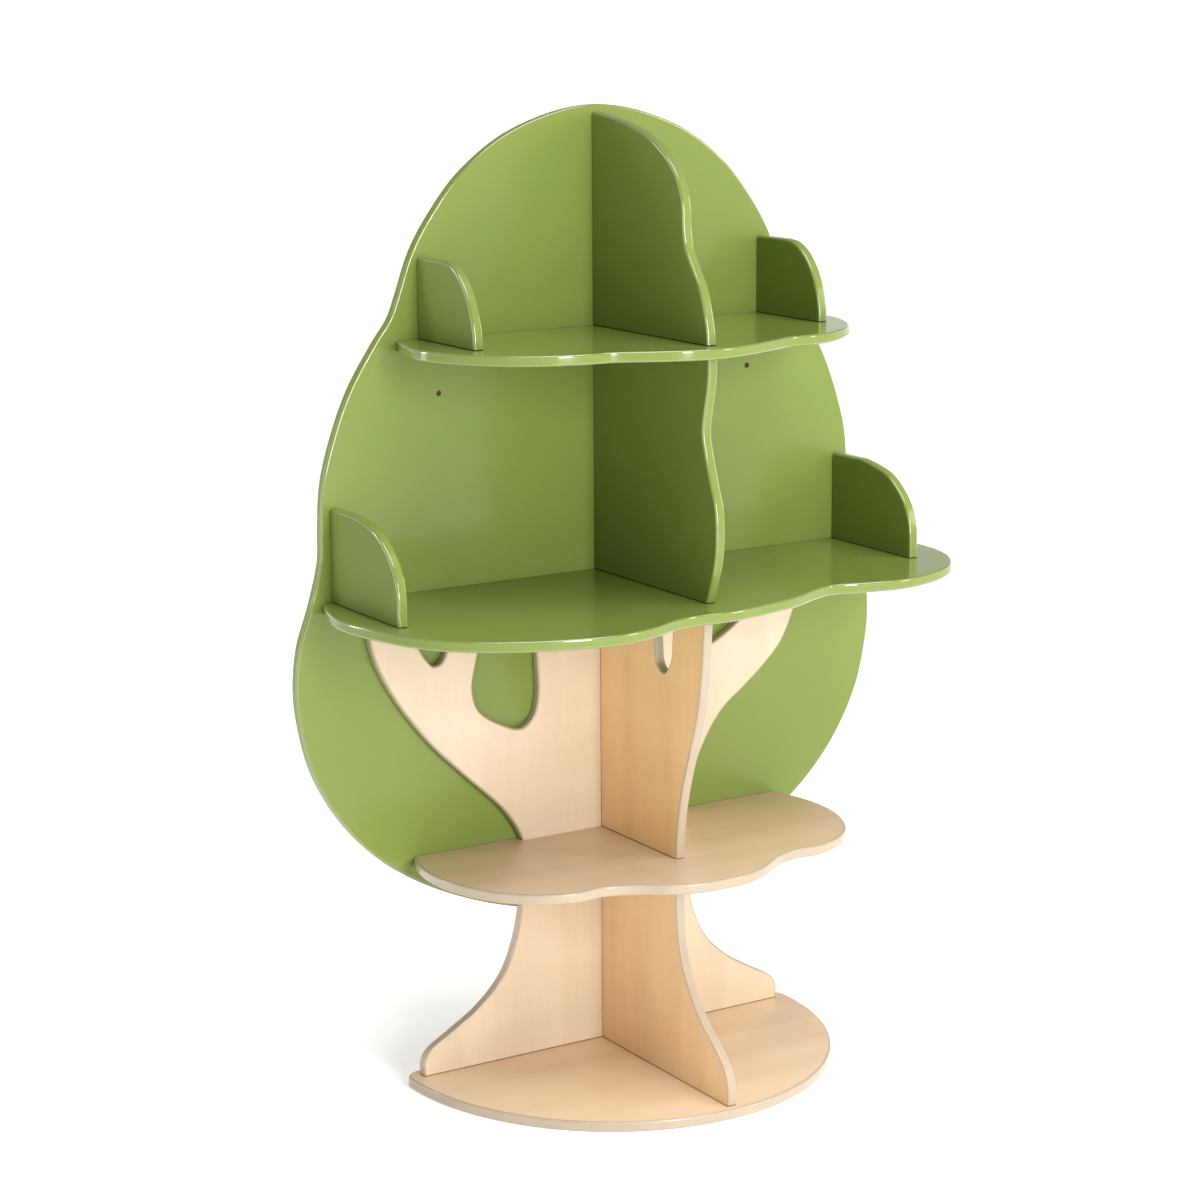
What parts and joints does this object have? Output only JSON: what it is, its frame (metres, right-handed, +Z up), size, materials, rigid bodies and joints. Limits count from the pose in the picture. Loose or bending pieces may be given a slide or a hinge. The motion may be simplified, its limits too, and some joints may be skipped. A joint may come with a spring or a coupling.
{
  "type": "tree shaped bookshelf",
  "caption": "Free-standing wooden bookshelf shaped like a tree: green leafy crown, maple trunk and foot, wavy shelves, upright dividers and low bookends.",
  "frame": {"origin": "on the floor under the middle of the base, on the centre plane of the dividers", "axes": "+Z up, +Y towards the back panel, +X to the right of someone who faces the front"},
  "size_m": [0.792, 0.321, 1.112],
  "materials": {
    "green_paint": "satin green paint on board",
    "maple": "satin clear lacquer over maple veneer",
    "screw_steel": "zinc plated",
    "beech": "bare turned dowel"
  },
  "bodies": {
    "root": {"crown_panel": "green_paint", "trunk_panel": "maple", "base_panel": "maple", "lower_shelf": "maple", "middle_shelf": "green_paint", "top_shelf": "green_paint", "upper_fin": "green_paint", "middle_fin": "green_paint", "lower_fin": "maple", "base_fin": "maple", "top_left_bookend": "green_paint", "top_right_bookend": "green_paint", "middle_left_bookend": "green_paint", "middle_right_bookend": "green_paint", "top_shelf_screw_1": "screw_steel", "top_shelf_screw_2": "screw_steel", "top_shelf_screw_3": "screw_steel", "top_shelf_screw_4": "screw_steel", "middle_shelf_screw_1": "screw_steel", "middle_shelf_screw_2": "screw_steel", "middle_shelf_screw_3": "screw_steel", "middle_shelf_screw_4": "screw_steel", "lower_shelf_screw_1": "screw_steel", "lower_shelf_screw_2": "screw_steel", "lower_shelf_screw_3": "screw_steel", "lower_shelf_screw_4": "screw_steel", "upper_fin_screw_1": "screw_steel", "upper_fin_screw_2": "screw_steel", "middle_fin_screw_1": "screw_steel", "middle_fin_screw_2": "screw_steel", "lower_fin_screw_1": "screw_steel", "lower_fin_screw_2": "screw_steel", "base_fin_screw_1": "screw_steel", "base_fin_screw_2": "screw_steel", "trunk_screw_1": "screw_steel", "trunk_screw_2": "screw_steel", "trunk_screw_3": "screw_steel", "trunk_screw_4": "screw_steel", "trunk_foot_screw_1": "screw_steel", "trunk_foot_screw_2": "screw_steel", "trunk_foot_screw_3": "screw_steel", "trunk_foot_screw_4": "screw_steel", "base_fin_foot_screw_1": "screw_steel", "base_fin_foot_screw_2": "screw_steel", "top_bookend_screw_1": "screw_steel", "top_bookend_screw_2": "screw_steel", "top_bookend_screw_3": "screw_steel", "top_bookend_screw_4": "screw_steel", "middle_bookend_screw_1": "screw_steel", "middle_bookend_screw_2": "screw_steel", "middle_bookend_screw_3": "screw_steel", "middle_bookend_screw_4": "screw_steel", "top_shelf_dowel_1": "beech", "top_shelf_dowel_2": "beech", "middle_shelf_dowel_1": "beech", "middle_shelf_dowel_2": "beech", "lower_shelf_dowel_1": "beech", "lower_shelf_dowel_2": "beech"}
  },
  "joints": []
}
